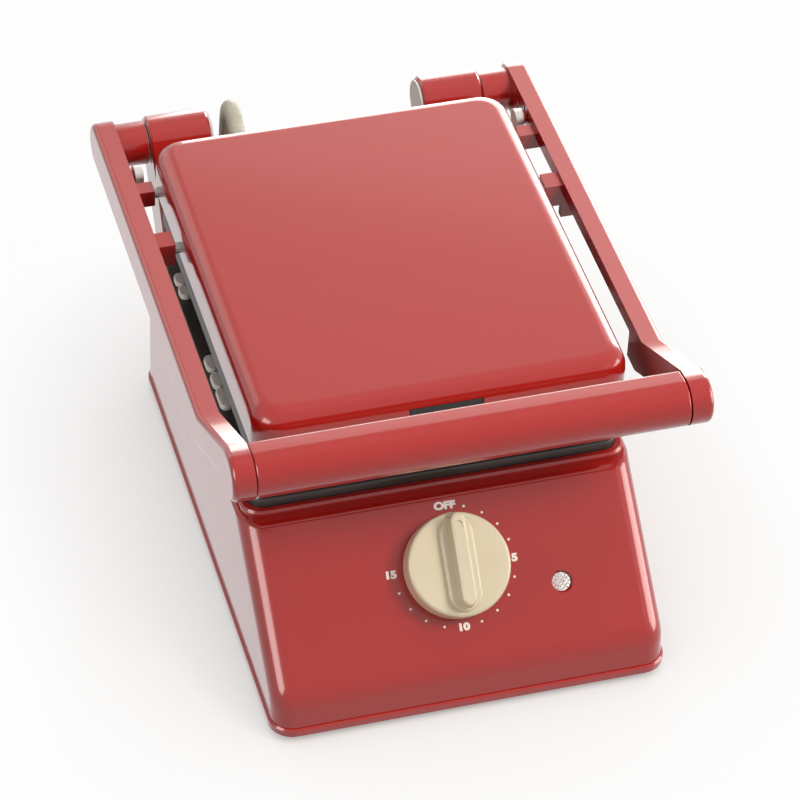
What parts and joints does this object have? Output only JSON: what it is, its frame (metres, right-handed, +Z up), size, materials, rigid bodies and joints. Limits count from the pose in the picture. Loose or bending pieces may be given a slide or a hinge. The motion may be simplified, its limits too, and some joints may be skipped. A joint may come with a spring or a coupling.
{
  "type": "sandwich maker",
  "caption": "Compact countertop sandwich maker with a wedge base, a timer knob and lamp on the sloping panel, and a floating lid carried by a U-shaped lift handle on a rear hinge",
  "frame": {"origin": "on the table, under the middle of the closed appliance's outline", "axes": "+X to the appliance's right as seen from the knob side, +Y to the hinge at the back, +Z up"},
  "size_m": [0.19, 0.2662, 0.1367],
  "materials": {
    "red_shell": "glossy",
    "grip_red": "glossy",
    "dark_frame": "satin",
    "dark_cover": "matte",
    "rubber_black": "matte",
    "pale_pad": "matte",
    "coated_plate": "satin",
    "heater_steel": "satin",
    "reflector_steel": "polished",
    "steel_zinc": "satin",
    "ivory_plastic": "satin",
    "lamp_amber": "glossy",
    "cap_grey": "satin",
    "switch_black": "matte",
    "sleeve_grey": "woven"
  },
  "bodies": {
    "base": {"base_housing": "red_shell", "bottom_cover": "dark_cover", "feet": "rubber_black", "bottom_screws": "steel_zinc", "lower_frame": "dark_frame", "rail_bumpers": "pale_pad", "lower_plate": "coated_plate", "lower_heater": "heater_steel", "lower_reflector": "reflector_steel", "lower_thermostat": "switch_black", "timer_body": "switch_black", "lamp_lens": "lamp_amber", "lamp_holder": "switch_black", "terminal_block": "ivory_plastic", "cord_gland": "switch_black", "hose_gland_base": "switch_black", "wire_hose": "sleeve_grey", "hinge_pin_right": "steel_zinc", "hinge_pin_left": "steel_zinc", "hinge_washers": "steel_zinc", "hinge_caps": "cap_grey"},
    "handle": {"handle_arm_right": "red_shell", "handle_arm_left": "red_shell", "handle_bar": "grip_red", "handle_tie_rod": "steel_zinc", "arm_studs": "steel_zinc"},
    "lid": {"lid_cover": "red_shell", "lid_pad": "switch_black", "upper_frame": "dark_frame", "upper_plate": "coated_plate", "upper_heater": "heater_steel", "upper_reflector": "reflector_steel", "upper_thermostat": "switch_black", "lid_screws": "steel_zinc", "lid_bracket_right": "steel_zinc", "lid_bracket_left": "steel_zinc", "lid_pins": "steel_zinc", "hose_gland_lid": "switch_black"},
    "knob": {"timer_knob": "ivory_plastic", "timer_shaft": "steel_zinc"}
  },
  "joints": [
    {"name": "handle_hinge", "type": "hinge", "parent": "base", "child": "handle", "pos_m": [0, 0.12235, 0.1024], "axis": [-1, 0, 0], "range_deg": [0, 100], "deforming": ["wire_hose"]},
    {"name": "lid_float", "type": "hinge", "parent": "handle", "child": "lid", "pos_m": [0, 0.08355, 0.1068], "axis": [-1, 0, 0], "range_deg": [0, 3]},
    {"name": "timer_turn", "type": "hinge", "parent": "base", "child": "knob", "pos_m": [0, -0.09898, 0.04721], "axis": [0, 0.6494, -0.7604], "range_deg": [0, 270]}
  ]
}
